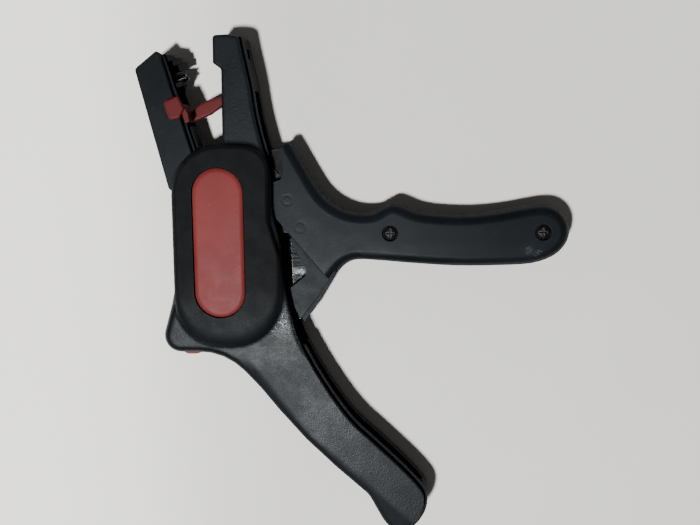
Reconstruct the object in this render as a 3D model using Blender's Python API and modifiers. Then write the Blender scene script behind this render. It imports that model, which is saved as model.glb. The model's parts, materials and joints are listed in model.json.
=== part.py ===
"""Pistol-form automatic wire stripper, lying on its rear side.

The drawing plane is the parting plane of the two housing shells. X runs towards the movable grip, Y runs up
the fixed jaw, and heights are measured from the parting plane: positive to the front, negative to the rear.
"""

import math

import bmesh
import bpy
from mathutils import Matrix, Vector

MM = 0.001  # every dimension below is in millimetres, and every angle in degrees

MIDPLANE = 11.0  # height of the parting plane over the floor

# Heights from the parting plane
POD_FACE = 11.0
PLATE_FACE = 8.5
POD_ROOF = 7.9  # inner face of the pod, over the moving jaw's cheeks
COVER = 5.9  # inner face of the covers at the mouth
LIP_TOP = 5.5
REAR_LIP_TOP = 8.0
HANDLE_ROOF = 6.0
HANDLE_MOUTH = 3.5
JAW_CHANNEL = 4.3
PARTING = 0.15
LIP_STEP = 1.3  # how far the lip stands out past the plate's edge
CHEEK = (4.2, 7.6)
FORK = (2.4, 3.8)
LEVER = 2.0
GRIP_FACE = 5.6
GUARD = (2.3, 4.1)
INLAY_FLOOR = 9.5

# Pivots and travel
JAW_PIVOT = (-58.0, 27.9)
JAW_OPEN = 17.4
JAW_SWING = 17.0
LEVER_PIVOT = (-46.0, 22.0)
SWING = 35.0
CAM_ARM = 12.0
DRIVE_ARM = 12.5
CARRIAGE_PIN = (4.0, 13.5)  # in the moving jaw's own frame
CLAMP_PIN = (0.8, 55.6)

# Pins and fits
PIN = 2.5
CAM_PIN = 2.0
DRIVE_PIN = 1.2
LINK_PIN = 1.0
RUNNING = 0.1
GAP = 0.3

# The pod's corners, each with its rounding, and the centre and the scale of its flat top
POD = (
    (-67.3, -20.8, 17.0), (-67.9, 57.0, 19.0), (-30.2, 56.4, 10.0), (-30.4, 27.0, 14.0), (-25.8, 12.0, 16.0),
    (-25.8, -20.8, 20.0),
)
POD_CENTRE = (-47.0, 40.0)
POD_TOP_SCALE = (0.88, 0.855)
INLAY_X = -49.9
INLAY_Y = (1.2, 38.1)
INLAY_WIDTH = 18.8

# A square wider than the tool, which cuts one half away
EVERYWHERE = ((-120, -120), (120, -120), (120, 120), (-120, 120))

HOUSING_SCREWS = ((-45.5, 92.6), (-60.5, -13.0), (-10.0, -49.0), (19.0, -83.5))
GRIP_SCREWS = ((13.8, 23.3), (70.1, 24.1))

# The right edge of the housing's covers, from the fixed jaw's tip to the handle's end
RIGHT_EDGE = (
    (-42.6, 96.4), (-41.5, 93.8), (-40.3, 87.8), (-38.0, 77.5), (-36.0, 65.2), (-33.0, 53.5), (-30.3, 44.0),
    (-30.0, 31.0), (-27.5, 20.8), (-25.8, 5.0), (-23.3, -8.5), (-20.1, -18.5), (-11.5, -34.0), (-1.5, -48.0),
    (8.5, -57.5), (18.5, -66.8), (24.3, -72.9), (26.9, -76.6), (27.5, -79.8), (26.6, -84.0), (23.5, -88.7),
    (18.6, -92.4), (10.0, -97.0),
)

COLOURS = {
    "charcoal": (0.030, 0.034, 0.040, 0.48, 0.0),
    "red": (0.42, 0.045, 0.040, 0.42, 0.0),
    "black": (0.012, 0.012, 0.013, 0.45, 0.0),
    "black_steel": (0.020, 0.020, 0.022, 0.35, 0.9),
    "bright_steel": (0.62, 0.61, 0.59, 0.25, 1.0),
    "spring_steel": (0.35, 0.35, 0.36, 0.30, 1.0),
}


# ---------------------------------------------------------------- scene and collections


def clear_scene():
    for obj in list(bpy.data.objects):
        bpy.data.objects.remove(obj, do_unlink=True)


def new_collection(name):
    collection = bpy.data.collections.new(name)
    bpy.context.scene.collection.children.link(collection)
    return collection


def materials():
    made = {}
    for name, (red, green, blue, roughness, metallic) in COLOURS.items():
        material = bpy.data.materials.new(name)
        material.use_nodes = True
        shader = material.node_tree.nodes["Principled BSDF"]
        shader.inputs["Base Color"].default_value = (red, green, blue, 1.0)
        shader.inputs["Roughness"].default_value = roughness
        shader.inputs["Metallic"].default_value = metallic
        material.diffuse_color = (red, green, blue, 1.0)
        made[name] = material
    return made


def empty(name, x, y, z=0.0, turn=0.0, parent=None):
    obj = bpy.data.objects.new(name, None)
    obj.location = (x * MM, y * MM, z * MM)
    obj.rotation_euler.z = math.radians(turn)
    obj.parent = parent
    PARTS.objects.link(obj)
    return obj


# ---------------------------------------------------------------- outlines


def rounded(*corners):
    """A closed outline from (x, y) or (x, y, radius) corners, with each rounded corner as an arc."""
    outline = []
    for index, corner in enumerate(corners):
        here = Vector(corner[:2])
        radius = corner[2] if len(corner) > 2 else 0.0
        if not radius:
            outline.append(tuple(here))
            continue
        before = (Vector(corners[index - 1][:2]) - here).normalized()
        after = (Vector(corners[(index + 1) % len(corners)][:2]) - here).normalized()
        half = before.angle(after) / 2
        centre = here + (before + after).normalized() * (radius / math.sin(half))
        start = here + before * (radius / math.tan(half)) - centre
        end = here + after * (radius / math.tan(half)) - centre
        sweep = math.copysign(math.pi - 2 * half, start.x * end.y - start.y * end.x)
        steps = max(2, math.ceil(abs(sweep) / math.radians(15)))
        for step in range(steps + 1):
            turned = Matrix.Rotation(sweep * step / steps, 2) @ start
            outline.append(tuple(centre + turned))
    return outline


def spline_value(p, q, r, s, t):
    """One coordinate of a Catmull-Rom spline between q and r, at t from 0 to 1."""
    square = 2 * p - 5 * q + 4 * r - s
    cube = 3 * q - p - 3 * r + s
    return 0.5 * (2 * q + (r - p) * t + square * t**2 + cube * t**3)


def smooth(points, per_span=3):
    """An open curve through the points, as a Catmull-Rom spline."""
    ends = [points[0], *points, points[-1]]
    curve = []
    for span in zip(ends, ends[1:], ends[2:], ends[3:]):
        for step in range(per_span):
            curve.append(tuple(spline_value(*values, step / per_span) for values in zip(*span)))
    return [*curve, tuple(points[-1])]


def beside(points, distance):
    """The same open curve, moved sideways to its left."""
    moved = []
    for index, point in enumerate(points):
        ahead = Vector(points[min(index + 1, len(points) - 1)])
        behind = Vector(points[max(index - 1, 0)])
        along = (ahead - behind).normalized()
        moved.append((point[0] - along.y * distance, point[1] + along.x * distance))
    return moved


def arc(centre, radius, start, end, steps=16):
    angles = [math.radians(start + (end - start) * step / steps) for step in range(steps + 1)]
    return [(centre[0] + radius * math.cos(a), centre[1] + radius * math.sin(a)) for a in angles]


def capsule(low, high, low_radius, high_radius):
    """Two round ends, one above the other, and the straight sides between them."""
    return arc(high, high_radius, 0, 180) + arc(low, low_radius, 180, 360)


def turned_point(point, centre, degrees):
    return Matrix.Rotation(math.radians(degrees), 2) @ (Vector(point) - Vector(centre)) + Vector(centre)


# ---------------------------------------------------------------- solids


def mesh_object(name, mesh, side=1):
    """Makes an object of the mesh; side -1 mirrors it to the rear of the parting plane."""
    if side < 0:
        mesh.transform(Matrix.Scale(-1, 4, (0, 0, 1)))
        mesh.flip_normals()
    obj = bpy.data.objects.new(name, mesh)
    bpy.context.scene.collection.objects.link(obj)
    return obj


def slab(name, outline, low, high, edge=0.0, side=1):
    """A flat outline given a thickness, with both rims rounded by edge."""
    curve = bpy.data.curves.new(name, "CURVE")
    curve.dimensions = "2D"
    curve.fill_mode = "BOTH"
    curve.extrude = ((high - low) / 2 - edge) * MM
    curve.bevel_depth = edge * MM
    curve.offset = -edge * MM
    curve.bevel_resolution = 2
    spline = curve.splines.new("POLY")
    spline.points.add(len(outline) - 1)
    for point, (x, y) in zip(spline.points, outline):
        point.co = (x * MM, y * MM, 0.0, 1.0)
    spline.use_cyclic_u = True
    helper = bpy.data.objects.new(name + "_outline", curve)
    mesh = bpy.data.meshes.new_from_object(helper)
    bpy.data.objects.remove(helper)
    mesh.transform(Matrix.Translation((0, 0, (low + high) / 2 * MM)))
    weld(mesh)
    return mesh_object(name, mesh, side)


def weld(mesh):
    shape = bmesh.new()
    shape.from_mesh(mesh)
    bmesh.ops.remove_doubles(shape, verts=shape.verts, dist=0.0005 * MM)
    bmesh.ops.recalc_face_normals(shape, faces=shape.faces)
    shape.to_mesh(mesh)
    shape.free()


def shrunk(outline, centre, scale):
    return [
        (centre[0] + (x - centre[0]) * scale[0], centre[1] + (y - centre[1]) * scale[1])
        for x, y in outline
    ]


def mound(name, outline, centre, scale, low, high, steps=5, side=1):
    """A soft-edged raised field: its sides curve in from the outline to the outline's shrunk copy."""
    shape = bmesh.new()
    rims = []
    for step in range(steps + 1):
        turn = math.pi / 2 * step / steps
        share = 1 - math.cos(turn)
        height = low + (high - low) * math.sin(turn)
        level = shrunk(outline, centre, [1 + (value - 1) * share for value in scale])
        rims.append([shape.verts.new((x * MM, y * MM, height * MM)) for x, y in level])
    for lower, upper in zip(rims, rims[1:]):
        for index in range(len(lower)):
            following = (index + 1) % len(lower)
            shape.faces.new((lower[index], lower[following], upper[following], upper[index]))
    shape.faces.new(rims[0][::-1])
    shape.faces.new(rims[-1])
    mesh = bpy.data.meshes.new(name)
    bmesh.ops.recalc_face_normals(shape, faces=shape.faces)
    shape.to_mesh(mesh)
    shape.free()
    return mesh_object(name, mesh, side)


def disc(name, centre, radius, low, high, sides=28, side=1):
    shape = bmesh.new()
    place = Matrix.Translation((centre[0] * MM, centre[1] * MM, (low + high) / 2 * MM))
    bmesh.ops.create_cone(
        shape, cap_ends=True, segments=sides, radius1=radius * MM, radius2=radius * MM,
        depth=(high - low) * MM, matrix=place,
    )
    mesh = bpy.data.meshes.new(name)
    shape.to_mesh(mesh)
    shape.free()
    return mesh_object(name, mesh, side)


def turned(name, profile, centre, sides=24):
    """A profile of (radius, height) points turned about an upright axis, with a Screw modifier."""
    mesh = bpy.data.meshes.new(name)
    points = [(radius * MM, 0.0, height * MM) for radius, height in profile]
    mesh.from_pydata(points, [(n, n + 1) for n in range(len(points) - 1)], [])
    obj = mesh_object(name, mesh)
    obj.location = (centre[0] * MM, centre[1] * MM, 0.0)
    screw = obj.modifiers.new("turn", "SCREW")
    screw.steps = screw.render_steps = sides
    screw.use_merge_vertices = True
    screw.merge_threshold = 1e-6
    screw.use_normal_calculate = True
    return obj


def pin(name, centre, radius, low, high, chamfer=0.3, sides=24):
    profile = (
        (0, low), (radius - chamfer, low), (radius, low + chamfer), (radius, high - chamfer),
        (radius - chamfer, high), (0, high),
    )
    return turned(name, profile, centre, sides)


def coil(name, radius, wire, turns, length, legs=(), per_turn=16):
    """A spring wound about Z as a bevelled curve, with straight legs added at its two ends."""
    steps = int(turns * per_turn)
    route = [
        (
            radius * math.cos(2 * math.pi * step / per_turn),
            radius * math.sin(2 * math.pi * step / per_turn),
            length * (step / steps - 0.5),
        )
        for step in range(steps + 1)
    ]
    if legs:
        route = [legs[0], *route, legs[1]]
    curve = bpy.data.curves.new(name, "CURVE")
    curve.dimensions = "3D"
    curve.bevel_depth = wire / 2 * MM
    curve.bevel_resolution = 1
    curve.use_fill_caps = True
    spline = curve.splines.new("POLY")
    spline.points.add(len(route) - 1)
    for point, (x, y, z) in zip(spline.points, route):
        point.co = (x * MM, y * MM, z * MM, 1.0)
    helper = bpy.data.objects.new(name + "_wire", curve)
    mesh = bpy.data.meshes.new_from_object(helper)
    bpy.data.objects.remove(helper)
    weld(mesh)
    return mesh_object(name, mesh)


def helper_to_cutters(obj):
    for collection in list(obj.users_collection):
        collection.objects.unlink(obj)
    CUTTERS.objects.link(obj)
    obj.hide_render = True
    obj.display_type = "WIRE"
    return obj


def boolean(target, tool, operation):
    modifier = target.modifiers.new(operation.lower() + "_" + tool.name, "BOOLEAN")
    modifier.operation = operation
    modifier.solver = "EXACT"
    modifier.object = helper_to_cutters(tool)


def cut(target, *tools):
    for tool in tools:
        boolean(target, tool, "DIFFERENCE")


def add(target, *tools):
    for tool in tools:
        boolean(target, tool, "UNION")


def keep(obj, body, material):
    """Makes the object a finished part, with its material; it and its cutters ride on its body's empty."""
    for collection in list(obj.users_collection):
        collection.objects.unlink(obj)
    PARTS.objects.link(obj)
    ride(obj, BODIES[body])
    obj.data.materials.clear()
    obj.data.materials.append(MATERIALS[material])
    return obj


def ride(obj, axis):
    """Parents the object and its cutters to the empty. The grip is drawn in the tool's own coordinates."""
    obj.parent = axis
    if axis is BODIES["grip"]:
        obj.matrix_parent_inverse = Matrix.Translation(-axis.location)
    for modifier in obj.modifiers:
        if modifier.type == "BOOLEAN":
            ride(modifier.object, axis)


# ---------------------------------------------------------------- housing


def right_side(low, high, side, name, step_out=0.0):
    """Everything to the right of the housing's right edge, between two heights."""
    edge = beside(smooth(RIGHT_EDGE), step_out)
    far = [(edge[-1][0] - 4, -110.0), (70.0, -110.0), (70.0, 110.0), (edge[0][0], 110.0)]
    return slab(name, edge + far, low, high, side=side)


def handle_blank(name, side):
    outline = rounded(
        (-68.3, 24.0), (-67.9, 0.0, 30), (-74.4, -23.1, 6.5), (-48.6, -22.6, 24), (-35.7, -36.0, 60),
        (-18.4, -56.9, 180), (6.2, -78.0, 9), (11.8, -88.0, 12), (17.0, -93.8, 4), (22.6, -93.8, 4),
        (28.6, -87.0, 4), (32.0, -75.0), (-12.0, -20.0), (-16.0, 24.0),
    )
    return slab(name, outline, -PLATE_FACE, PLATE_FACE, edge=3.0, side=side)


def jaw_blank(name, side):
    outline = rounded(
        (-51.1, 95.5, 1.2), (-46.0, 95.8), (-36.0, 94.2), (-20.0, 50.0), (-16.0, -2.0), (-64.0, -2.0),
        (-66.9, 2.0), (-67.3, 36.0), (-60.0, 50.0), (-48.1, 50.0), (-48.1, 83.4, 1.2), (-51.1, 85.6, 0.8),
    )
    return slab(name, outline, -PLATE_FACE, PLATE_FACE, edge=0.6, side=side)


def pod_blank(name, side):
    return mound(name, rounded(*POD), POD_CENTRE, POD_TOP_SCALE, POD_ROOF - 0.4, POD_FACE, side=side)


def housing_rooms(tag, side):
    """The hollows in one half of the housing, from the parting plane outwards."""
    edge = smooth(RIGHT_EDGE)
    inside = beside(edge, -2.2)
    wall = [point for point in inside if -78.0 < point[1] < -17.0]
    handle = wall + [(24.0, -82.0), (22.6, -87.6), (19.8, -91.0), (16.8, -90.2), (13.4, -86.6), (7.4, -76.0),
                     (-16.6, -54.6), (-33.4, -34.4), (-39.0, -27.0), (-30.0, -17.0)]
    mouth = wall[:-2] + [(30.0, -72.0), (60.0, -72.0), (60.0, -17.0), (-26.0, -17.0)]
    body = rounded(
        (-66.0, 30.0), (-65.8, 0.0, 30), (-71.6, -20.8, 4.5), (-49.6, -20.6, 20), (-38.4, -31.0, 8),
        (-20.0, -19.5), (40.0, -19.5), (40.0, 52.0), (-44.0, 52.0), (-44.0, 30.0),
    )
    pod = capsule((-48.4, 6.0), (-49.0, 37.6), 16.0, 15.4)
    gate = [
        (-48.1, 72.0), (-48.1, 40.0), (-56.0, 30.0), (-66.0, 30.0), (-66.0, 36.0), (-84.0, 36.0),
        (-84.0, 72.0),
    ]
    channel_wall = [point for point in beside(edge, -2.0) if 46.0 < point[1] < 89.0]
    channel = [(-60.0, 90.6), (-42.8, 90.6), *channel_wall, (-60.0, 46.0)]
    floor = -1.0
    return [
        slab("handle_room" + tag, handle, floor, HANDLE_ROOF, side=side),
        slab("handle_mouth" + tag, mouth, floor, HANDLE_MOUTH, side=side),
        slab("body_room" + tag, body, floor, COVER, side=side),
        slab("pod_room" + tag, pod, floor, POD_ROOF, side=side),
        slab("jaw_gate" + tag, gate, floor, POD_ROOF, side=side),
        slab("jaw_channel" + tag, channel, floor, JAW_CHANNEL, side=side),
        slab("long_window" + tag, rounded((-42.0, 75.5), (-30.0, 75.5), (-25.0, 50.0), (-42.0, 50.0)),
             floor, JAW_CHANNEL, side=side),
        slab("top_window" + tag, rounded((-45.0, 91.0), (-38.0, 91.0), (-38.0, 87.2), (-45.0, 87.2)),
             floor, 2.2, side=side),
        slab("adjuster_slot" + tag, rounded((-69.9, -19.8), (-53.8, -19.8), (-53.8, -28.0), (-69.9, -28.0)),
             floor, 1.5, side=side),
        slab("inlay_recess" + tag, inlay_outline(0.35), INLAY_FLOOR, POD_FACE + 1, side=side),
    ]


def inlay_outline(grow):
    radius = INLAY_WIDTH / 2 + grow
    return capsule((INLAY_X + 0.4, INLAY_Y[0]), (INLAY_X, INLAY_Y[1]), radius, radius)


def housing_bosses(tag, side):
    blade_seat = 1.5 if side > 0 else 0.1
    return [
        disc("lever_boss" + tag, LEVER_PIVOT, 4.5, LEVER + 0.4, POD_ROOF + 0.5, side=side),
        disc("blade_boss" + tag, (-35.5, 3.0), 2.4, blade_seat, POD_ROOF + 0.5, side=side),
        disc("heel_boss" + tag, HOUSING_SCREWS[1], 3.2, PARTING, COVER + 0.5, side=side),
        disc("grip_boss" + tag, HOUSING_SCREWS[2], 3.2, PARTING, HANDLE_ROOF + 0.5, side=side),
        disc("end_boss" + tag, HOUSING_SCREWS[3], 3.2, PARTING, HANDLE_ROOF + 0.5, side=side),
    ]


def housing_holes(tag, side):
    holes = [
        disc("jaw_pin_hole" + tag, JAW_PIVOT, PIN + RUNNING, -1, 9.1, side=side),
        disc("lever_pin_hole" + tag, LEVER_PIVOT, PIN + RUNNING, -1, 9.1, side=side),
    ]
    for index, place in enumerate(HOUSING_SCREWS):
        if side > 0:
            holes.append(disc(f"screw_hole_{index}{tag}", place, 1.5, -1, 5.0, sides=16))
            continue
        holes.append(disc(f"screw_hole_{index}{tag}", place, 1.7, -1, 10.0, sides=16, side=side))
        holes.append(disc(f"head_recess_{index}{tag}", place, 3.0, 6.4, 10.0, side=side))
    return holes


def housing_shell(name, side):
    tag = "_front" if side > 0 else "_rear"
    lip_top = LIP_TOP if side > 0 else REAR_LIP_TOP
    shell = handle_blank(name, side)
    add(shell, jaw_blank("jaw_blank" + tag, side), pod_blank("pod_blank" + tag, side))
    cut(
        shell,
        right_side(lip_top, 12.0, side, "plate_edge" + tag),
        right_side(-12.0, lip_top + 0.01, side, "lip_edge" + tag, step_out=LIP_STEP),
        slab("other_half" + tag, EVERYWHERE, -14, PARTING, side=side),
    )
    cut(shell, *housing_rooms(tag, side))
    add(shell, *housing_bosses(tag, side))
    cut(shell, *housing_holes(tag, side))
    return keep(shell, "housing", "charcoal")


def inlay(name, side):
    outline = inlay_outline(0.0)
    middle = (INLAY_X, (INLAY_Y[0] + INLAY_Y[1]) / 2)
    piece = slab(name, outline, INLAY_FLOOR + 0.05, 10.3, side=side)
    add(piece, mound(name + "_crown", outline, middle, (0.83, 0.943), 10.2, 10.85, steps=3, side=side))
    return keep(piece, "housing", "red")


def cross_head(name, centre, top, head_radius, head_height, shank_radius, shank_end, side=1):
    """A pan-head screw with a cross recess."""
    under = top - head_height
    profile = (
        (0, shank_end), (shank_radius, shank_end), (shank_radius, under), (head_radius, under),
        (head_radius, under + 0.6 * head_height), (0.8 * head_radius, top - 0.1 * head_height),
        (0.45 * head_radius, top), (0, top),
    )
    screw = turned(name, [(radius, side * height) for radius, height in profile], centre)
    arm = 0.62 * head_radius
    bar = ((-arm, -0.32), (arm, -0.32), (arm, 0.32), (-arm, 0.32))
    for turn in (0.0, 90.0):
        outline = [tuple(turned_point(point, (0, 0), turn)) for point in bar]
        blade = slab(f"{name}_cross_{int(turn)}", outline, top - 1.0, top + 1.0, side=side)
        blade.location = (centre[0] * MM, centre[1] * MM, 0)
        cut(screw, blade)
    return screw


def housing_screws():
    for place, name in zip(HOUSING_SCREWS, ("tip", "heel", "middle", "end")):
        screw = cross_head(f"housing_{name}_screw", place, 8.2, 2.6, 1.6, 1.35, -4.6, side=-1)
        keep(screw, "housing", "black_steel")


def comb(name, levels, outline, spine):
    """Thin plates at the given heights, joined along one side by a spine."""
    piece = slab(name, spine, levels[0][0], levels[-1][1])
    for index, (low, high) in enumerate(levels):
        add(piece, slab(f"{name}_tooth_{index}", outline, low, high))
    return piece


def fixed_clamp():
    teeth = [(-50.4, 84.6), (-44.0, 84.6), (-44.0, 90.0), (-50.4, 90.0)]
    spine = [(-44.8, 84.4), (-43.2, 84.4), (-43.2, 90.1), (-44.8, 90.1)]
    return keep(comb("fixed_clamp", ((-2.3, -1.1), (1.1, 2.3)), teeth, spine), "housing", "black_steel")


def fixed_cutter_blade():
    outline = rounded((-38.5, 6.5, 1), (-33.5, 10.5), (-29.6, 8.5), (-32.0, -1.5), (-38.5, -1.5, 1))
    return keep(slab("fixed_cutter_blade", outline, 0.3, 1.3), "housing", "bright_steel")


def springs():
    opening = coil(
        "jaw_opening_spring", 3.4, 0.8, 3.25, 3.0,
        legs=((3.4, -9.0, -1.5), (-4.6, 3.4, 1.5)),
    )
    opening.location = (JAW_PIVOT[0] * MM, JAW_PIVOT[1] * MM, 0)
    keep(opening, "housing", "spring_steel")
    returning = coil("grip_return_spring", 2.0, 0.7, 9.0, 18.0)
    returning.rotation_euler = (0, math.radians(90), 0)
    returning.location = (-56.1 * MM, 8.0 * MM, 0)
    keep(returning, "housing", "spring_steel")


# ---------------------------------------------------------------- moving jaw, in its own upright frame


def cam_face():
    """Where the moving jaw's tail must lie so that the cam pin just clears it all through the swing."""
    face = []
    for step in range(9):
        share = step / 8
        lever_angle = math.radians(-90 + SWING / 2 - SWING * share)
        jaw_angle = JAW_OPEN - JAW_SWING * share
        pin_x = LEVER_PIVOT[0] + CAM_ARM * math.cos(lever_angle)
        pin_y = LEVER_PIVOT[1] + CAM_ARM * math.sin(lever_angle)
        x, y = turned_point((pin_x, pin_y), JAW_PIVOT, -jaw_angle) - Vector(JAW_PIVOT)
        face.append((x - CAM_PIN - 0.22, y))
    return face


def moving_jaw():
    face = cam_face()
    low_end = (face[0][0], face[0][1] - 3.0)
    high_end = (face[-1][0], face[-1][1] + 2.6)
    outline = rounded(
        (-4.8, 59.9, 1.5), (5.0, 63.7, 0.8), (5.9, 62.2), (5.8, 8.0, 2), (4.6, 2.0, 4), (4.2, -11.0, 4),
        high_end, *face[::-1], low_end,
        (2.6, low_end[1], 1), (-1.0, -14.0, 8), (-4.6, -4.0, 5), (-4.6, 10.6, 2), (-6.9, 14.6, 2),
    )
    jaw = slab("moving_jaw", outline, -CHEEK[1], CHEEK[1], edge=0.5)
    lip = rounded((4.6, 62.4), (6.3, 61.9), (6.9, 60.6), (6.9, 16.0), (4.6, 16.0))
    add(jaw, slab("jaw_lip", lip, -CHEEK[0] - 1.3, CHEEK[0] + 1.3))
    room = [(-2.3, 59.0), (12.0, 60.6), (12.0, -40.0), (-12.0, -40.0), (-12.0, 12.0), (-4.6, 15.0)]
    nose = [(-1.2, 66.0), (12.0, 66.0), (12.0, 58.0), (-1.2, 58.0)]
    cut(
        jaw,
        slab("jaw_room", room, -CHEEK[0], CHEEK[0]),
        slab("jaw_nose", nose, -CHEEK[0], CHEEK[0]),
        disc("jaw_pin_way", (0, 0), PIN + RUNNING, -9, 9),
        disc("clamp_pin_way", CLAMP_PIN, 1.0 + RUNNING, -5.6, 5.6),
    )
    return keep(jaw, "jaw_frame", "charcoal")


def moving_clamp():
    """Three gripping lamellae, each reaching a little further and lower than the one in front of it."""
    clamp = slab("moving_clamp", [(-1.9, 53.2), (4.2, 53.2), (4.2, 60.0), (-1.9, 58.4)], -4.0, 4.0)
    foot = [(0.0, 54.2), (4.6, 54.2)]
    front = foot + [(4.6, 59.0), (10.1, 59.3), (9.9, 60.6), (5.2, 62.6), (0.4, 61.8)]
    middle = foot + [(4.6, 57.4), (11.6, 57.5), (11.6, 59.3), (9.0, 60.3), (0.4, 61.0)]
    back = foot + [(4.6, 55.2), (12.3, 55.2), (12.7, 57.5), (9.0, 59.0), (0.4, 60.0)]
    add(
        clamp,
        slab("front_lamella", front, 2.6, 4.0),
        slab("middle_lamella", middle, -0.8, 0.8),
        slab("back_lamella", back, -4.0, -2.6),
    )
    cut(clamp, disc("clamp_pin_hole", CLAMP_PIN, 1.0 + RUNNING, -5, 5))
    keep(clamp, "jaw_frame", "black")
    keep(pin("clamp_pin", CLAMP_PIN, 1.0, -5.4, 5.4, chamfer=0.2, sides=16), "jaw_frame", "bright_steel")


# ---------------------------------------------------------------- blade carriage and length stop


def blade_carriage():
    bar = rounded((-1.7, 51.6), (9.8, 52.0, 0.5), (9.8, 49.6, 0.5), (8.2, 47.4), (8.2, 20.0), (-3.9, 20.0))
    carriage = slab("blade_carriage", bar, -3.8, 3.8, edge=0.25)
    x, y = CARRIAGE_PIN
    tongue = rounded((1.8, 22.0), (1.8, y - 1.9, 1.5), (x + 2.0, y - 1.9, 1.5), (x + 2.0, 22.0))
    add(carriage, slab("carriage_tongue", tongue, -1.9, 1.9))
    cut(
        carriage,
        slab("blade_seat", [(-0.9, 52.9), (12, 52.9), (12, 50.7), (-0.9, 50.7)], -2.8, 4.5),
        slab("stop_way", [(5.9, 49.2), (12, 49.2), (12, 34.0), (5.9, 34.0)], -2.2, 4.5),
        disc("carriage_pin_hole", CARRIAGE_PIN, LINK_PIN + RUNNING, -4, 4, sides=16),
    )
    keep(carriage, "carriage", "black")
    link = pin("carriage_pin", CARRIAGE_PIN, LINK_PIN, -3.9, 3.9, chamfer=0.2, sides=16)
    keep(link, "carriage", "bright_steel")


def moving_blade():
    """A stripping blade with a comb of fine teeth below its edge."""
    edge = [(-0.5, 52.4), (4.8, 52.6), (5.2, 54.8), (11.5, 53.1), (11.5, 52.3), (5.0, 51.0), (-0.5, 51.0)]
    blade = slab("moving_blade", edge, 0.0, 1.6)
    teeth = [(0.0, 52.4), (7.0, 52.6), (11.7, 51.9), (11.7, 51.0), (0.0, 51.0)]
    add(blade, slab("blade_comb", teeth, -2.2, 0.01))
    for index in range(4):
        low = -1.9 + 0.55 * index
        cut(blade, slab(f"comb_gap_{index}", [(9.4, 53), (13, 53), (13, 50), (9.4, 50)], low, low + 0.25))
    return keep(blade, "carriage", "bright_steel")


def length_stop():
    """The red stop: a knob on the jaw's face, a neck round its inner edge, and a tongue across the jaws."""
    knob = rounded(
        (2.2, 45.2, 1.0), (8.0, 45.6, 1.0), (8.9, 40.6, 1), (6.0, 37.6, 1), (2.3, 38.1, 1), (2.0, 41.9, 2),
    )
    stop = slab("length_stop", knob, 7.95, 10.25, edge=0.8)
    neck = rounded((7.3, 44.0, 0.4), (8.6, 41.2), (9.2, 38.6), (8.9, 35.6, 0.5), (7.4, 35.4, 0.4))
    tongue = rounded(
        (7.6, 35.6, 1.0), (11.3, 35.6, 3), (16.0, 36.1, 4), (23.0, 38.6, 1.2), (23.2, 41.2, 1.2),
        (16.5, 41.5, 5), (12.6, 40.9, 3), (7.6, 38.4, 1.0),
    )
    add(stop, slab("stop_neck", neck, -1.5, 8.8), slab("stop_tongue", tongue, -1.6, 1.6, edge=0.8))
    return keep(stop, "stop", "red")


# ---------------------------------------------------------------- pull rod


def rod_plate(name, side):
    """One of the rod's plates: its bar in the jaw, and slotted ends for the carriage and drive pins."""
    x, y = carriage_pin_at_rest()
    foot_y = drive_pin_at_rest()[1]
    outline = rounded(
        (-45.6, 83.4), (-42.0, 83.4), (-41.2, 75.0), (-41.2, 54.0, 3), (-36.6, 44.0, 3), (-31.0, 34.0, 3),
        (-30.7, foot_y - 2.5, 1), (-37.6, foot_y - 2.5, 1), (-38.0, 33.0, 4), (-44.0, 38.2, 2),
        (x - 2.3, y - 2.4, 1.5), (x - 2.3, y + 2.4, 1.5), (-45.6, y + 2.4, 1.5),
    )
    return slab(name, outline, *FORK, side=side)


def carriage_pin_at_rest():
    return turned_point((JAW_PIVOT[0] + CARRIAGE_PIN[0], JAW_PIVOT[1] + CARRIAGE_PIN[1]), JAW_PIVOT, JAW_OPEN)


def drive_pin_at_rest():
    return turned_point((LEVER_PIVOT[0] + DRIVE_ARM, LEVER_PIVOT[1]), LEVER_PIVOT, SWING / 2)


def pull_rod():
    rod = rod_plate("pull_rod", 1)
    x, y = carriage_pin_at_rest()
    drive_x, drive_y = drive_pin_at_rest()
    straight = JAW_PIVOT[0] + CARRIAGE_PIN[0]
    link_slot = rounded(
        (x - 1.4, y - 1.6, 1.4), (straight + 1.4, y - 1.6, 1.4), (straight + 1.4, y + 1.6, 1.4),
        (x - 1.4, y + 1.6, 1.4),
    )
    reach = LEVER_PIVOT[0] + DRIVE_ARM
    foot_slot = rounded(
        (drive_x - 1.5, drive_y - 1.45, 1.4), (reach + 1.5, drive_y - 1.45, 1.4),
        (reach + 1.5, drive_y + 1.45, 1.4), (drive_x - 1.5, drive_y + 1.45, 1.4),
    )
    bridge = [(-45.4, 83.4), (-42.0, 83.4), (-41.6, 79.2), (-45.4, 79.2)]
    add(rod, rod_plate("rod_rear_plate", -1), slab("rod_bridge", bridge, -FORK[1], FORK[1]))
    cut(
        rod,
        slab("link_slot", link_slot, -5, 5),
        slab("foot_slot", foot_slot, -5, 5),
        slab("rod_blade_seat", [(-50, 82.6), (-43.2, 82.6), (-43.2, 80.4), (-50, 80.4)], -0.2, 2.0),
    )
    return keep(rod, "rod", "black_steel")


def rod_blade():
    outline = [(-46.1, 81.6), (-45.4, 82.3), (-43.5, 82.3), (-43.5, 80.7), (-45.4, 80.7)]
    return keep(slab("rod_blade", outline, 0.1, 1.7), "rod", "bright_steel")


# ---------------------------------------------------------------- grip and lever


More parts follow.
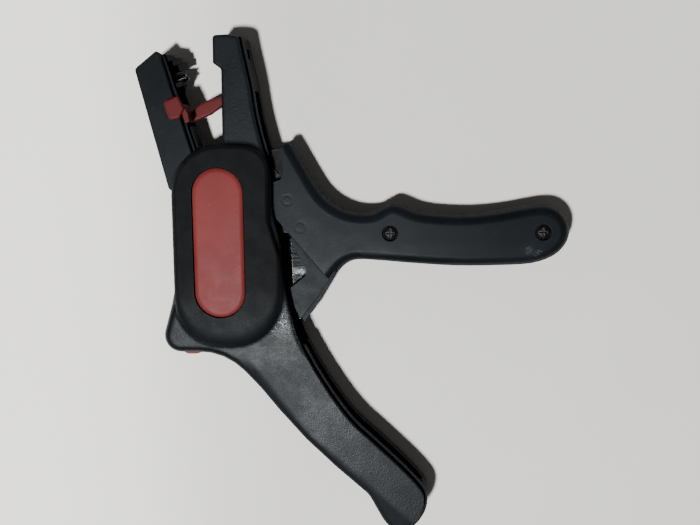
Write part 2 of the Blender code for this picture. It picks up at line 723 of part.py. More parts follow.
def grip_outline():
    """The grip seen from the front, from the horn round the far end and back to the web."""
    top = smooth((
        (-29.5, 66.0), (-26.8, 61.8), (-22.0, 54.6), (-17.2, 46.2), (-12.0, 38.0), (-6.3, 33.2), (0.2, 30.9),
        (6.7, 30.9), (10.8, 32.9), (14.4, 34.5), (18.0, 33.7), (22.9, 31.7), (30.1, 30.6), (42.1, 30.3),
        (54.1, 31.6), (64.4, 33.6), (71.5, 34.1), (76.2, 32.1), (79.2, 28.2), (80.0, 24.0), (78.7, 19.5),
        (74.4, 15.1), (66.6, 12.2), (54.6, 11.3), (38.5, 11.0), (22.3, 11.8), (10.0, 12.7), (1.8, 13.0),
        (-2.4, 11.6), (-5.9, 8.2), (-9.6, 3.0),
    ))
    return top + [(-15.0, -4.0), (-40.0, 22.0), (-40.0, 60.0)]


def grip_cutters(tag, side):
    """What trims the grip blank to the web's straight edges, and the room for the lever plate."""
    diagonal = [(-8.6, 5.2), (-29.6, 29.4), (-45.0, 29.4), (-45.0, -20.0), (10.0, -20.0), (-6.0, 0.0)]
    web_side = rounded(
        (-30.3, 20.0), (-30.3, 42.0, 0.5), (-27.0, 43.2, 1.2), (-26.0, 47.0, 2), (-27.3, 55.2, 0.8),
        (-24.6, 56.4, 1.2), (-20.5, 54.6), (-18.0, 72.0), (-60.0, 72.0), (-60.0, 20.0),
    )
    return [
        slab("web_diagonal" + tag, diagonal, -1.0, 9.0, side=side),
        slab("web_side" + tag, web_side, -1.0, 9.0, side=side),
        slab("lever_room" + tag, lever_room_outline(), -1.0, LEVER + GAP, side=side),
        slab("guard_room" + tag, guard_room_outline(), -1.0, GUARD[1] + GAP, side=side),
    ]


def lever_room_outline():
    return rounded(
        (-60.0, 70.0), (-24.0, 70.0), (-24.2, 52.0), (-20.5, 44.5), (-14.0, 34.0), (-4.0, 28.0, 8),
        (9.0, 28.2), (30.0, 27.8), (60.0, 29.6), (73.6, 28.6, 4), (75.4, 19.0, 6), (62.0, 14.6), (8.0, 15.6),
        (-3.0, 13.6, 8), (-9.0, 7.0), (-12.0, -20.0), (-60.0, -20.0),
    )


def guard_room_outline():
    return rounded((-35.0, 24.6), (-21.2, 23.8), (-6.0, 9.2), (-3.0, 5.0), (-8.0, -20.0), (-35.0, -20.0))


def grip_shell(name, side):
    tag = "_grip_front" if side > 0 else "_grip_rear"
    shell = slab(name, grip_outline(), -GRIP_FACE, GRIP_FACE, edge=4.0, side=side)
    half = slab("grip_half" + tag, EVERYWHERE, -14, PARTING, side=side)
    cut(shell, half, *grip_cutters(tag, side))
    for index, place in enumerate(GRIP_SCREWS):
        add(shell, disc(f"screw_post_{index}{tag}", place, 2.9, PARTING, LEVER + 1.0, side=side))
        if side > 0:
            cut(
                shell,
                disc(f"post_way_{index}{tag}", place, 1.7, -1, 8, sides=16),
                disc(f"head_seat_{index}{tag}", place, 2.95, 3.6, 8),
            )
        else:
            cut(shell, disc(f"post_way_{index}{tag}", place, 1.5, -1, 3.9, sides=16, side=side))
    return keep(shell, "grip", "charcoal")


def grip_screws():
    for place, name in zip(GRIP_SCREWS, ("inner", "outer")):
        keep(cross_head(f"grip_{name}_screw", place, 5.3, 2.6, 1.6, 1.35, -3.6), "grip", "black_steel")


def handle_lever():
    cam = cam_pin_at_rest()
    outline = rounded(
        (-39.6, 44.5, 2), (-34.8, 53.2, 2), (-26.0, 54.4, 1.5), (-21.6, 43.8), (-15.2, 33.0, 12),
        (-4.0, 27.0, 8), (9.0, 27.6), (60.0, 27.6), (72.6, 27.6, 3), (74.4, 20.0, 5), (62.0, 15.2),
        (8.0, 16.2), (-3.4, 14.4, 8), (-8.0, 9.6, 1), (-23.4, 22.8, 2), (-31.0, 23.4, 4), (-36.0, 15.6, 6),
        (cam[0] + 3.8, cam[1] - 4.4, 3), (cam[0] - 3.4, cam[1] - 4.4, 1), (cam[0] - 3.4, cam[1] + 3.0, 1),
        (-51.4, 16.6, 5), (-51.6, 27.6, 5), (-39.6, 28.0, 3),
    )
    lever = slab("handle_lever", outline, -LEVER, LEVER)
    cut(
        lever,
        disc("lever_pivot_way", LEVER_PIVOT, PIN + RUNNING, -4, 4),
        disc("cam_pin_way", cam, CAM_PIN + 0.05, -4, 4, sides=20),
        disc("drive_pin_way", drive_pin_at_rest(), DRIVE_PIN + 0.05, -4, 4, sides=16),
        *[disc(f"post_clearance_{n}", place, 3.3, -4, 4) for n, place in enumerate(GRIP_SCREWS)],
    )
    rib = [(-33.4, 49.4), (-32.5, 50.2), (-28.2, 44.8), (-29.1, 44.0)]
    add(lever, slab("lever_rib", rib, LEVER - 0.1, LEVER + 1.0))
    keep(lever, "grip", "black_steel")
    keep(pin("cam_pin", cam, CAM_PIN, -7.4, 7.4, sides=20), "grip", "bright_steel")
    drive = pin("drive_pin", drive_pin_at_rest(), DRIVE_PIN, -4.6, 4.6, chamfer=0.2, sides=16)
    keep(drive, "grip", "bright_steel")


def cam_pin_at_rest():
    return turned_point((LEVER_PIVOT[0], LEVER_PIVOT[1] - CAM_ARM), LEVER_PIVOT, SWING / 2)


def cutter_guard(name, outer_edge, side):
    """One of the two plates beside the cutting blade, with the notch that leads a wire in."""
    notch = ((-23.8, 2.1, 0.3), (-18.2, 6.7, 0.3), (-17.6, 9.2, 0.3), (-24.0, 20.4))
    root = ((-21.6, 22.8), (-6.4, 8.4))
    return keep(slab(name, rounded(*root, *outer_edge, *notch), *GUARD, side=side), "grip", "charcoal")


def cutter_guards():
    front_edge = ((-8.6, 5.6, 0.4), (-20.0, -9.9, 0.5), (-22.3, -5.2))
    rear_edge = ((-7.4, 6.4, 0.4), (-15.1, -6.7), (-19.6, -12.4, 0.5), (-22.0, -6.0))
    cutter_guard("front_cutter_guard", front_edge, 1)
    cutter_guard("rear_cutter_guard", rear_edge, -1)


def cutter_blade():
    outline = [
        (-24.1, 20.6), (-20.0, 17.0), (-11.5, 8.0), (-13.2, 0.4), (-20.9, -10.9), (-22.7, -6.4), (-23.4, 3.4),
    ]
    return keep(slab("cutter_blade", outline, -1.1, -0.1), "grip", "bright_steel")


# ---------------------------------------------------------------- depth adjuster


def depth_adjuster():
    stem = rounded(
        (-66.9, -19.5), (-66.9, -23.3), (-64.8, -24.9, 2.5), (-60.8, -24.7, 4), (-56.8, -23.2),
        (-56.8, -19.5),
    )
    adjuster = slab("depth_adjuster", stem, -1.2, 1.2, edge=0.3)
    head = [(-65.0, -19.9), (-58.6, -19.9), (-58.6, -17.2), (-65.0, -17.2)]
    add(adjuster, slab("adjuster_foot", head, -3.4, 3.4))
    return keep(adjuster, "adjuster", "red")


# ---------------------------------------------------------------- assembly


def make_bodies():
    frame = empty("tool_frame", 0, 0, MIDPLANE)
    grip = empty("grip_axis", *LEVER_PIVOT, parent=frame)
    jaw = empty("jaw_axis", *JAW_PIVOT, turn=JAW_OPEN, parent=frame)
    return {
        "housing": frame,
        "grip": grip,
        "jaw_frame": jaw,
        "carriage": empty("carriage_way", 0, 0, parent=jaw),
        "stop": empty("stop_way_axis", 0, 0, parent=jaw),
        "rod": empty("rod_way", 0, 0, parent=frame),
        "adjuster": empty("adjuster_way", 0, 0, parent=frame),
    }


clear_scene()
PARTS = new_collection("wire_stripper")
CUTTERS = new_collection("cutters")
CUTTERS.hide_render = True
MATERIALS = materials()
BODIES = make_bodies()

housing_shell("housing_front_shell", 1)
housing_shell("housing_rear_shell", -1)
inlay("front_inlay", 1)
inlay("rear_inlay", -1)
housing_screws()
keep(pin("jaw_pivot_pin", JAW_PIVOT, PIN, -9.0, 9.0), "housing", "bright_steel")
keep(pin("lever_pivot_pin", LEVER_PIVOT, PIN, -9.0, 9.0), "housing", "bright_steel")
fixed_clamp()
fixed_cutter_blade()
springs()
moving_jaw()
moving_clamp()
blade_carriage()
moving_blade()
length_stop()
pull_rod()
rod_blade()
handle_lever()
grip_shell("grip_front_shell", 1)
grip_shell("grip_rear_shell", -1)
grip_screws()
cutter_guards()
cutter_blade()
depth_adjuster()
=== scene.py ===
"""Looks of the wire stripper: smooth-shaded visual pieces, materials, floor, light and camera.

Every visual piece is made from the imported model's own solids, so nothing here sets a place or a size of the
tool. Lengths are in metres unless a name says otherwise, and angles are in degrees.
"""

import json
import math

import bmesh
import bpy
from mathutils import Euler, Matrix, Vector

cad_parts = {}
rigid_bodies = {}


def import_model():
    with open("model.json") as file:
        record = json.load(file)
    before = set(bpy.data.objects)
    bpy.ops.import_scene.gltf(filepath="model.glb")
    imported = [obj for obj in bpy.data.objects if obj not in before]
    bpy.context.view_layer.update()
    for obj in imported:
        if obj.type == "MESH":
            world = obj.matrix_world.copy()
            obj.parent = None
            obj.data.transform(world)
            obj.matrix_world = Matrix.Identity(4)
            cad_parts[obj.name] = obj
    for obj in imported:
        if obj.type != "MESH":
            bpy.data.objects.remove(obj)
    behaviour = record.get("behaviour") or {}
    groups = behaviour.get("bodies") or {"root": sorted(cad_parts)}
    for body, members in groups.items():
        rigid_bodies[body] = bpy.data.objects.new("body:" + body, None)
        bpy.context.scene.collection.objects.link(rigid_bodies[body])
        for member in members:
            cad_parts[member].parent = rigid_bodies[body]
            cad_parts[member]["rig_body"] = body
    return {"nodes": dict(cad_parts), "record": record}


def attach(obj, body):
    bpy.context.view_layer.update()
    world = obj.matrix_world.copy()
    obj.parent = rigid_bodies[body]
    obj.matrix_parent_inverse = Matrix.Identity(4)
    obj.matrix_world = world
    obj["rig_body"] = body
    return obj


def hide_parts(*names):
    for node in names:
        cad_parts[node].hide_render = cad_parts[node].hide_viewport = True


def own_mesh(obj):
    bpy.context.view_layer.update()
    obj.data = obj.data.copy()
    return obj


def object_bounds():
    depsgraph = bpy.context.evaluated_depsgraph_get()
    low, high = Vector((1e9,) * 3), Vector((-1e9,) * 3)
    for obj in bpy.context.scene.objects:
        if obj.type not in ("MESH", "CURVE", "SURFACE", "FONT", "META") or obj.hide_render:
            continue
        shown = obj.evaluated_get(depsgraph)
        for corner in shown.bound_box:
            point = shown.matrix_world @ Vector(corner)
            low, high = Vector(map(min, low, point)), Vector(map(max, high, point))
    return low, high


MM = 0.001

# Camera and lights, seen from over the tool
CAMERA_PLACE = (0.02452, 0.06137, 0.36759)
CAMERA_TURN = (-7.940, 4.174, 0.0)
LENS_MM = 48.86
KEY_PLACE = (-0.345, -0.345, 1.62)
SHEEN_PLACE = (-0.296, -0.448, 1.60)

# The matte mound around the inlay: its foot's height, where its right side ends, and between which places
# along Y it goes from half dull to fully dull. Its colour darkens in step: partly its own darker tone, partly
# painted shade that deepens towards the top
POD_FOOT = 19.6 * MM
POD_SIDE = (-20.0 * MM, -17.0 * MM)
POD_FADE = (-16.0 * MM, 12.0 * MM)
POD_TONE = (0.0022, 0.0024, 0.0027, 1)

# The fixed handle's outer edge, as straight runs, each with its direction out of the handle and its place
# along that direction. The dull band starts at the first distance inside the edge and is full at the second,
# and it comes in between the two places of HANDLE_TOP along Y.
HANDLE_EDGES = (((-0.790, -0.613), 50.0 * MM), ((-0.651, -0.759), 55.2 * MM))
HANDLE_BAND = (5.0 * MM, 2.0 * MM)
HANDLE_TOP = (-22.0 * MM, -30.0 * MM)

# Where the red stop starts to get darker along Y, and where it is fully so
RED_DARKENING_FROM = (42.0 * MM, 52.0 * MM)

# Nodes whose moulding has wear or marks of its own
LOOKS = {
    "housing_front_shell": "housing",
    "housing_rear_shell": "housing",
    "grip_front_shell": "grip",
    "grip_rear_shell": "grip",
    "front_cutter_guard": "guard",
    "rear_cutter_guard": "guard",
}

# Round marks left by the mould on the web of the grip: centre, inner and outer radius
MOULD_MARKS = (
    ((-24.6 * MM, 35.5 * MM), 1.6 * MM, 2.8 * MM),
    ((-19.8 * MM, 25.5 * MM), 1.8 * MM, 3.0 * MM),
)

# The housing is dull below this height: its lip and the pockets of its jaw
SUNKEN_TOP = 17.2 * MM

# Rubbed places: centre, inner and outer radius, and whiteness. The housing's spot is worn shiny, and its
# whiteness is also a painted highlight, the glint of the light off the plate beside the mound
HOUSING_SCUFF_AND_HIGHLIGHT = (((-28.0 * MM, -9.0 * MM), 2.0 * MM, 9.0 * MM, 0.5),)
GRIP_SCUFFS = (
    ((65.0 * MM, 17.4 * MM), 0.5 * MM, 2.2 * MM, 1.4),
    ((67.6 * MM, 16.2 * MM), 0.4 * MM, 1.5 * MM, 2.0),
    ((69.0 * MM, 16.9 * MM), 0.4 * MM, 1.3 * MM, 2.0),
)

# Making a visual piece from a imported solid
WELD = 0.002 * MM
FLAT_ANGLE = 0.3
CRISP_ANGLE = 36.0
FACE_WEIGHT = 60

CHARCOAL_DARK = (0.0030, 0.0042, 0.0056, 1)
CHARCOAL_LIGHT = (0.0049, 0.0066, 0.0088, 1)
CHARCOAL_WORN = (0.042, 0.050, 0.058, 1)
GUARD_LIGHT = (0.013, 0.016, 0.019, 1)
# Worn edges of the steel, and a painted glint on them
STEEL_EDGE_AND_GLINT = (0.20, 0.20, 0.21, 1)

FLOOR_DROP = 0.05 * MM
FLOOR_HALF_WIDTH = 1.6

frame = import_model()
NODES = frame["nodes"]
cad_low, cad_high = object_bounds()


# ---------------------------------------------------------------- material graph helpers


def plug(tree, socket, value):
    if isinstance(value, bpy.types.NodeSocket):
        tree.links.new(value, socket)
    else:
        socket.default_value = value


def add_node(tree, kind, settings=None, **inputs):
    """A new node with its properties set, and its inputs set or linked. _0 and _1 pick an input by number."""
    made = tree.nodes.new(kind)
    for name, value in (settings or {}).items():
        setattr(made, name, value)
    for name, value in inputs.items():
        key = int(name[1:]) if name[0] == "_" else name.replace("_", " ")
        plug(tree, made.inputs[key], value)
    return made


def math_node(tree, operation, *values):
    made = add_node(tree, "ShaderNodeMath", {"operation": operation})
    for socket, value in zip(made.inputs, values):
        plug(tree, socket, value)
    return made.outputs[0]


def vector_math(tree, operation, first, second):
    return add_node(tree, "ShaderNodeVectorMath", {"operation": operation}, _0=first, _1=second)


def times(tree, first, second):
    return math_node(tree, "MULTIPLY", first, second)


def plus(tree, first, second):
    return math_node(tree, "ADD", first, second)


def minus(tree, first, second):
    return math_node(tree, "SUBTRACT", first, second)


def object_point(tree):
    return add_node(tree, "ShaderNodeTexCoord").outputs["Object"]


def noise(tree, point, scale, detail=2.0, roughness=0.5, distortion=0.0):
    made = add_node(
        tree, "ShaderNodeTexNoise", Vector=point, Scale=scale, Detail=detail, Roughness=roughness,
        Distortion=distortion,
    )
    return made.outputs["Fac"]


def ranged(tree, value, low, high, to_low=0.0, to_high=1.0):
    """value moved smoothly from low..high to to_low..to_high, and kept inside it."""
    made = add_node(tree, "ShaderNodeMapRange", {"interpolation_type": "SMOOTHSTEP"}, Value=value)
    for socket, number in zip(("From Min", "From Max", "To Min", "To Max"), (low, high, to_low, to_high)):
        made.inputs[socket].default_value = number
    return made.outputs["Result"]


def mixed(tree, share, first, second):
    """A colour between first and second."""
    made = add_node(tree, "ShaderNodeMix", {"data_type": "RGBA"})
    plug(tree, made.inputs[0], share)
    plug(tree, made.inputs[6], first)
    plug(tree, made.inputs[7], second)
    return made.outputs[2]


def stretched(tree, point, scale, turn):
    made = add_node(tree, "ShaderNodeMapping", Vector=point)
    made.inputs["Scale"].default_value = scale
    made.inputs["Rotation"].default_value = [math.radians(angle) for angle in turn]
    return made.outputs[0]


def edge_mask(tree, radius):
    """1 on an edge tighter than radius, and 0 on flat or gently curved ground."""
    rounded = add_node(tree, "ShaderNodeBevel", {"samples": 4}, Radius=radius)
    plain = add_node(tree, "ShaderNodeNewGeometry")
    dot = vector_math(tree, "DOT_PRODUCT", rounded.outputs[0], plain.outputs["Normal"])
    return ranged(tree, dot.outputs["Value"], 0.995, 0.90)


def round_spot(tree, point, centre, inner, outer):
    """1 inside inner of a centre on the drawing plane, falling to 0 at outer."""
    flat = vector_math(tree, "MULTIPLY", point, (1.0, 1.0, 0.0))
    gap = vector_math(tree, "DISTANCE", flat.outputs[0], (*centre, 0.0))
    return ranged(tree, gap.outputs["Value"], outer, inner)


def scratches(tree, point, turn, seed_scale, threshold=0.70):
    """Thin bright lines that lie along one direction and come and go in patches."""
    lines = noise(tree, stretched(tree, point, (60.0, 3200.0, 60.0), (0, 0, turn)), 1.0, 3.0, 0.6)
    patches = noise(tree, point, seed_scale, 1.0)
    thin = ranged(tree, lines, threshold, threshold + 0.05)
    return times(tree, thin, ranged(tree, patches, 0.50, 0.66))


def start_material(name):
    material = bpy.data.materials.new(name)
    material.use_nodes = True
    tree = material.node_tree
    return material, tree, tree.nodes["Principled BSDF"]


def bumped(tree, height, strength, distance, edge_radius):
    """A normal with rounded edges and the surface's own fine relief."""
    soft = add_node(tree, "ShaderNodeBevel", {"samples": 6}, Radius=edge_radius)
    made = add_node(
        tree, "ShaderNodeBump", Strength=strength, Distance=distance, Height=height, Normal=soft.outputs[0],
    )
    return made.outputs[0]


# ---------------------------------------------------------------- masks


def axis_range(tree, point, axis, low, high):
    """0 at low and 1 at high, along one axis of the frame."""
    parts = add_node(tree, "ShaderNodeSeparateXYZ", Vector=point)
    return ranged(tree, parts.outputs[axis], low, high)


def handle_band_mask(tree, point):
    """1 in a band inside the fixed handle's outer edge, which is rubbed dull, and 0 over the rest."""
    band = 0.0
    for outward, edge in HANDLE_EDGES:
        across = vector_math(tree, "DOT_PRODUCT", point, (*outward, 0.0))
        run = ranged(tree, across.outputs["Value"], edge - HANDLE_BAND[0], edge - HANDLE_BAND[1])
        band = math_node(tree, "MAXIMUM", band, run)
    return times(tree, band, axis_range(tree, point, "Y", *HANDLE_TOP))


def crevice_shade_mask(tree):
    """1 deep in a gap or a corner, where painted shade darkens the colour and the surface is dulled, and 0 on
    open ground.
    """
    occlusion = add_node(tree, "ShaderNodeAmbientOcclusion", {"samples": 6}, Distance=2.5 * MM)
    return ranged(tree, occlusion.outputs["AO"], 0.86, 0.42)


def side_mask(tree):
    """1 on walls that stand up from the drawing plane, and 0 on faces that lie in it."""
    normal = add_node(tree, "ShaderNodeTexCoord").outputs["Normal"]
    facing = add_node(tree, "ShaderNodeSeparateXYZ", Vector=normal)
    return ranged(tree, math_node(tree, "ABSOLUTE", facing.outputs["Z"]), 0.62, 0.20)


def pod_mask(tree, point):
    """1 on the raised, matte mound around the inlay and 0 on the housing's flat face."""
    inside = minus(tree, 1.0, axis_range(tree, point, "X", *POD_SIDE))
    return times(tree, inside, axis_range(tree, point, "Z", POD_FOOT, POD_FOOT + 0.8 * MM))


def pod_foot_mask(tree, point):
    """1 where the mound meets the housing's face, so that the crease there is shaded soft."""
    inside = minus(tree, 1.0, axis_range(tree, point, "X", *POD_SIDE))
    above = axis_range(tree, point, "Z", POD_FOOT - 0.4 * MM, POD_FOOT - 0.1 * MM)
    below = minus(tree, 1.0, axis_range(tree, point, "Z", POD_FOOT + 1.6 * MM, POD_FOOT + 2.2 * MM))
    return times(tree, inside, times(tree, above, below))


# ---------------------------------------------------------------- materials


def plastic_wear(tree, point, clouds, lines, scuffs, rub):
    """How worn the moulding is, from 0 to 1, with the painted highlight of the housing's worn spot, and how
    much its scuffed spots shine.
    """
    rubbed = times(tree, edge_mask(tree, 0.4 * MM), ranged(tree, clouds, 0.35, 0.70, 0.28 * rub, rub))
    wear_and_highlight = math_node(tree, "MINIMUM", plus(tree, rubbed, times(tree, lines, 0.4)), 0.8)
    shine = 0.0
    for centre, inner, outer, whiteness in scuffs:
        off_pod = minus(tree, 1.0, pod_mask(tree, point))
        spot = times(tree, round_spot(tree, point, centre, inner, outer), off_pod)
        flecks_and_glints = times(tree, spot, ranged(tree, noise(tree, point, 1500.0, 3.0), 0.42, 0.62))
        # Painted highlight as well as worn plastic: the housing's spot whitens where the light glints off the
        # plate
        wear_and_highlight = math_node(tree, "MINIMUM", plus(tree, wear_and_highlight, times(tree, flecks_and_glints, whiteness)), 1.0)
        shine = plus(tree, shine, flecks_and_glints)
    return wear_and_highlight, shine


def plastic_roughness(tree, base, clouds, speckle, fine, mottle):
    rough = ranged(tree, clouds, 0.25, 0.75, base - 0.03, base + 0.04)
    rough = plus(tree, rough, ranged(tree, speckle, 0.3, 0.7, -0.01, 0.012))
    rough = plus(tree, rough, ranged(tree, fine, 0.35, 0.65, -0.02, 0.03))
    return plus(tree, rough, ranged(tree, mottle, 0.35, 0.65, -0.025, 0.03))


def plastic_relief(tree, point, fine, lines, grain, marks):
    """The moulding's height: pebble grain, scratches, and the rings that the mould left."""
    pebbles = add_node(tree, "ShaderNodeTexVoronoi", {"feature": "F1"}, Vector=point, Scale=1600.0)
    height = plus(tree, times(tree, pebbles.outputs["Distance"], grain), times(tree, fine, grain * 0.6))
    height = minus(tree, height, times(tree, lines, 0.5))
    for centre, inner, outer in marks:
        whole = round_spot(tree, point, centre, inner, outer)
        middle = round_spot(tree, point, centre, inner * 0.55, outer * 0.6)
        height = minus(tree, height, times(tree, minus(tree, whole, middle), 0.8))
    return height


def moulded_plastic(name, dark, light, worn, roughness, gloss=0.12, grain=0.35, edge=0.35 * MM, marks=(),
                    scuffs=(), pod=False, darker_far_tone=None, sunken=0.0, rub=0.9, cloud_scale=26.0):
    """Satin moulding: cloudy tone, pebble grain, rubbed edges, hairline scratches, painted shade in its
    crevices, and any local marks, one of which also carries a painted highlight.
    """
    material, tree, shader = start_material(name)
    point = object_point(tree)
    clouds = noise(tree, point, cloud_scale, 4.0, 0.55)
    mottle = noise(tree, point, 130.0, 3.0, 0.6)
    speckle = noise(tree, point, 900.0, 2.0)
    fine = noise(tree, point, 5200.0, 2.0)
    lines = math_node(
        tree, "MAXIMUM", scratches(tree, point, 18.0, 38.0), scratches(tree, point, -52.0, 31.0, 0.72),
    )
    wear_and_highlight, shine = plastic_wear(tree, point, clouds, lines, scuffs, rub)
    tone = mixed(tree, ranged(tree, clouds, 0.30, 0.72), dark, light)
    tone = mixed(tree, ranged(tree, speckle, 0.60, 0.85, 0.0, 0.12), tone, worn)
    rough = plastic_roughness(tree, roughness, clouds, speckle, fine, mottle)
    if scuffs:
        rough = minus(tree, rough, times(tree, shine, 0.13))
    # The red gets darker along Y, towards the jaws
    if darker_far_tone:
        tone = mixed(tree, axis_range(tree, point, "Y", *RED_DARKENING_FROM), tone, darker_far_tone)
    if pod:
        fade = math_node(tree, "MULTIPLY_ADD", axis_range(tree, point, "Y", *POD_FADE), 0.55, 0.45)
        matte = times(tree, pod_mask(tree, point), fade)
        # Painted shade as well as the mound's own darker tone: the colour darkens more towards the top
        tone = mixed(tree, times(tree, matte, 0.85), tone, POD_TONE)
        rough = plus(tree, rough, times(tree, matte, 0.26))
        rough = plus(tree, rough, times(tree, handle_band_mask(tree, point), 0.24))
        edge = plus(tree, edge, times(tree, pod_foot_mask(tree, point), 1.5 * MM))
    if sunken:
        low = axis_range(tree, point, "Z", SUNKEN_TOP + 0.5 * MM, SUNKEN_TOP)
        rough = plus(tree, rough, times(tree, low, sunken))
    crevice_shade = crevice_shade_mask(tree)
    tone = mixed(tree, times(tree, wear_and_highlight, 0.55), tone, worn)
    # Painted shade: gaps and corners are darkened by how closed in they are
    tone = mixed(tree, times(tree, crevice_shade, 0.5), tone, dark)
    rough = plus(tree, rough, times(tree, crevice_shade, 0.25))
    rough = plus(tree, rough, times(tree, side_mask(tree), 0.40))
    rough = minus(tree, rough, times(tree, wear_and_highlight, 0.06))
    relief = plastic_relief(tree, point, fine, lines, grain, marks)
    plug(tree, shader.inputs["Base Color"], tone)
    plug(tree, shader.inputs["Roughness"], rough)
    plug(tree, shader.inputs["Normal"], bumped(tree, relief, 0.6, 0.05 * MM, edge))
    shader.inputs["Specular IOR Level"].default_value = gloss
    return material


def worn_steel(name, dark, light, roughness, turn, metallic=1.0, share=(0.35, 0.68), edge_and_glint=STEEL_EDGE_AND_GLINT):
    """Ground and handled steel: grinding lines one way, smudges, brighter edges. The brighter edges are worn
    edges and also a painted glint; with the bright steel's colours, the smudges and grinding lines also paint
    dark and bright reflections.
    """
    material, tree, shader = start_material(name)
    point = object_point(tree)
    ground = noise(tree, stretched(tree, point, (90.0, 5200.0, 90.0), (0, 0, turn)), 1.0, 4.0, 0.6)
    smudge_and_reflection = noise(tree, point, 120.0, 4.0, 0.6, 0.6)
    tone = mixed(tree, ranged(tree, smudge_and_reflection, *share), dark, light)
    tone = mixed(tree, ranged(tree, ground, 0.45, 0.75, 0.0, 0.25), tone, light)
    # Worn edges, and a painted glint along them
    tone = mixed(tree, times(tree, edge_mask(tree, 0.3 * MM), 0.5), tone, edge_and_glint)
    rough = plus(
        tree, ranged(tree, smudge_and_reflection, 0.3, 0.7, roughness + 0.08, roughness - 0.05),
        ranged(tree, ground, 0.3, 0.7, -0.05, 0.08),
    )
    height = plus(tree, times(tree, ground, 0.6), times(tree, smudge_and_reflection, 0.2))
    plug(tree, shader.inputs["Base Color"], tone)
    plug(tree, shader.inputs["Roughness"], rough)
    plug(tree, shader.inputs["Normal"], bumped(tree, height, 0.35, 0.02 * MM, 0.15 * MM))
    shader.inputs["Metallic"].default_value = metallic
    shader.inputs["Specular IOR Level"].default_value = 0.2
    return material


def paper_floor():
    """Pale matt ground with a slight, uneven tone, and painted light that brightens it towards the left."""
    material, tree, shader = start_material("pale_floor")
    point = object_point(tree)
    broad = noise(tree, point, 4.0, 3.0)
    soft = noise(tree, point, 70.0, 3.0, 0.55)
    fine = noise(tree, point, 900.0, 2.0)
    tone = mixed(tree, ranged(tree, broad, 0.3, 0.7), (0.60, 0.60, 0.585, 1), (0.65, 0.65, 0.635, 1))
    # Painted light: the floor brightens towards the left, the lamp's side
    painted_light_side = axis_range(tree, point, "X", -20.0 * MM, -130.0 * MM)
    tone = mixed(tree, painted_light_side, tone, (0.95, 0.95, 0.92, 1))
    height = plus(tree, soft, times(tree, fine, 0.12))
    bump = add_node(tree, "ShaderNodeBump", Strength=0.25, Distance=0.6 * MM, Height=height)
    plug(tree, shader.inputs["Base Color"], tone)
    plug(tree, shader.inputs["Roughness"], ranged(tree, soft, 0.3, 0.7, 0.75, 0.92))
    plug(tree, shader.inputs["Normal"], bump.outputs[0])
    return material


def charcoal(name, light=CHARCOAL_LIGHT, gloss=0.14, **places):
    return moulded_plastic(name, CHARCOAL_DARK, light, CHARCOAL_WORN, 0.36, gloss=gloss, **places)


def all_materials():
    """One material for each slot, and one more for each moulding with a look of its own."""
    return {
        "charcoal": charcoal("charcoal_moulding"),
        "housing": charcoal(
            "housing_moulding", pod=True, scuffs=HOUSING_SCUFF_AND_HIGHLIGHT, sunken=0.12, grain=1.0, gloss=0.155,
        ),
        "grip": charcoal("grip_moulding", marks=MOULD_MARKS, scuffs=GRIP_SCUFFS, rub=0.25, gloss=0.12),
        "guard": charcoal("guard_moulding", light=GUARD_LIGHT, gloss=0.07, cloud_scale=170.0),
        "red": moulded_plastic(
            "red_moulding", (0.108, 0.0155, 0.0155, 1), (0.150, 0.024, 0.023, 1), (0.32, 0.11, 0.10, 1), 0.38,
            grain=0.25, edge=0.30 * MM, darker_far_tone=(0.070, 0.0105, 0.0108, 1),
        ),
        "black": moulded_plastic(
            "black_moulding", (0.0032, 0.0034, 0.0040, 1), (0.0060, 0.0062, 0.0070, 1),
            (0.022, 0.023, 0.025, 1), 0.42, gloss=0.08, edge=0.15 * MM,
        ),
        "black_steel": worn_steel(
            "blackened_steel", (0.003, 0.003, 0.0035, 1), (0.009, 0.009, 0.010, 1), 0.40, 20.0,
            metallic=0.5, edge_and_glint=(0.22, 0.22, 0.23, 1),
        ),
        # Painted reflection over real smudges and grinding lines: near-black steel with bright patches and
        # streaks stands for the dark and bright reflections of a polished blade
        "bright_steel": worn_steel(
            "bright_steel", (0.0022, 0.0024, 0.0026, 1), (0.13, 0.132, 0.135, 1), 0.20, 55.0,
            share=(0.50, 0.72),
        ),
        "spring_steel": worn_steel("spring_steel", (0.16, 0.16, 0.17, 1), (0.40, 0.40, 0.41, 1), 0.32, 0.0),
    }


# ---------------------------------------------------------------- visual pieces


def skin(node_name, solid, material):
    """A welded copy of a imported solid, with its curved faces shaded as one and its real edges kept crisp."""
    mesh = bpy.data.meshes.new(node_name + "_skin")
    shape = bmesh.new()
    shape.from_mesh(solid.data)
    bmesh.ops.remove_doubles(shape, verts=shape.verts, dist=WELD)
    bmesh.ops.dissolve_limit(
        shape, angle_limit=math.radians(FLAT_ANGLE), verts=shape.verts, edges=shape.edges, delimit={"NORMAL"},
    )
    for face in shape.faces:
        face.smooth = True
        face.material_index = 0
    for edge in shape.edges:
        edge.smooth = len(edge.link_faces) == 2 and edge.calc_face_angle(0.0) < math.radians(CRISP_ANGLE)
    shape.to_mesh(mesh)
    shape.free()
    mesh.materials.append(material)
    piece = bpy.data.objects.new(node_name + "_skin", mesh)
    bpy.context.scene.collection.objects.link(piece)
    weighted = piece.modifiers.new("even_faces", "WEIGHTED_NORMAL")
    weighted.keep_sharp = True
    weighted.weight = FACE_WEIGHT
    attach(piece, solid["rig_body"])
    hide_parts(node_name)
    return piece


# ---------------------------------------------------------------- floor, light and camera


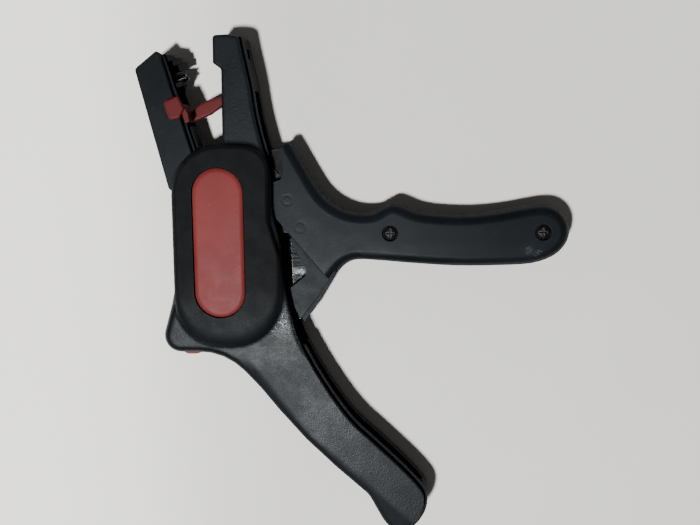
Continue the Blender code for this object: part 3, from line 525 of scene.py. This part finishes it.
def floor():
    mesh = bpy.data.meshes.new("floor")
    shape = bmesh.new()
    bmesh.ops.create_grid(shape, x_segments=8, y_segments=8, size=FLOOR_HALF_WIDTH)
    shape.to_mesh(mesh)
    shape.free()
    ground = bpy.data.objects.new("floor", mesh)
    bpy.context.scene.collection.objects.link(ground)
    ground.location.z = cad_low.z - FLOOR_DROP
    mesh.materials.append(paper_floor())


def area_light(name, place, target, width, power, colour):
    light = bpy.data.lights.new(name, "AREA")
    light.shape = "DISK"
    light.size = width
    light.energy = power
    light.color = colour
    lamp = bpy.data.objects.new(name, light)
    bpy.context.scene.collection.objects.link(lamp)
    lamp.location = place
    lamp.rotation_euler = (Vector(target) - Vector(place)).to_track_quat("-Z", "Y").to_euler()
    return lamp


def lights():
    """The key lights and shades the tool and leaves no highlight; the sheen is only its reflection."""
    centre = (cad_low + cad_high) / 2
    key = area_light("key", KEY_PLACE, centre, 0.15, 60.0, (1.0, 0.985, 0.965))
    key.visible_glossy = False
    sheen = area_light("sheen", SHEEN_PLACE, centre, 0.16, 22.0, (0.95, 1.0, 1.01))
    sheen.visible_diffuse = False
    world = bpy.data.worlds.new("studio")
    bpy.context.scene.world = world
    world.use_nodes = True
    background = world.node_tree.nodes["Background"]
    background.inputs["Color"].default_value = (1.0, 0.97, 0.93, 1)
    background.inputs["Strength"].default_value = 0.09


def camera():
    lens = bpy.data.cameras.new("camera")
    lens.lens = LENS_MM
    lens.sensor_width = 36.0
    eye = bpy.data.objects.new("camera", lens)
    bpy.context.scene.collection.objects.link(eye)
    eye.location = CAMERA_PLACE
    eye.rotation_euler = Euler([math.radians(angle) for angle in CAMERA_TURN])
    bpy.context.scene.camera = eye


# ---------------------------------------------------------------- assembly

MATERIALS = all_materials()
SLOTS = {entry["node"]: entry["material_slot"] for entry in frame["record"]["subparts"]}

for node_name, solid in NODES.items():
    piece = skin(node_name, solid, MATERIALS[LOOKS.get(node_name, SLOTS[node_name])])
    if node_name == "grip_return_spring":
        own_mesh(piece)

floor()
lights()
camera()
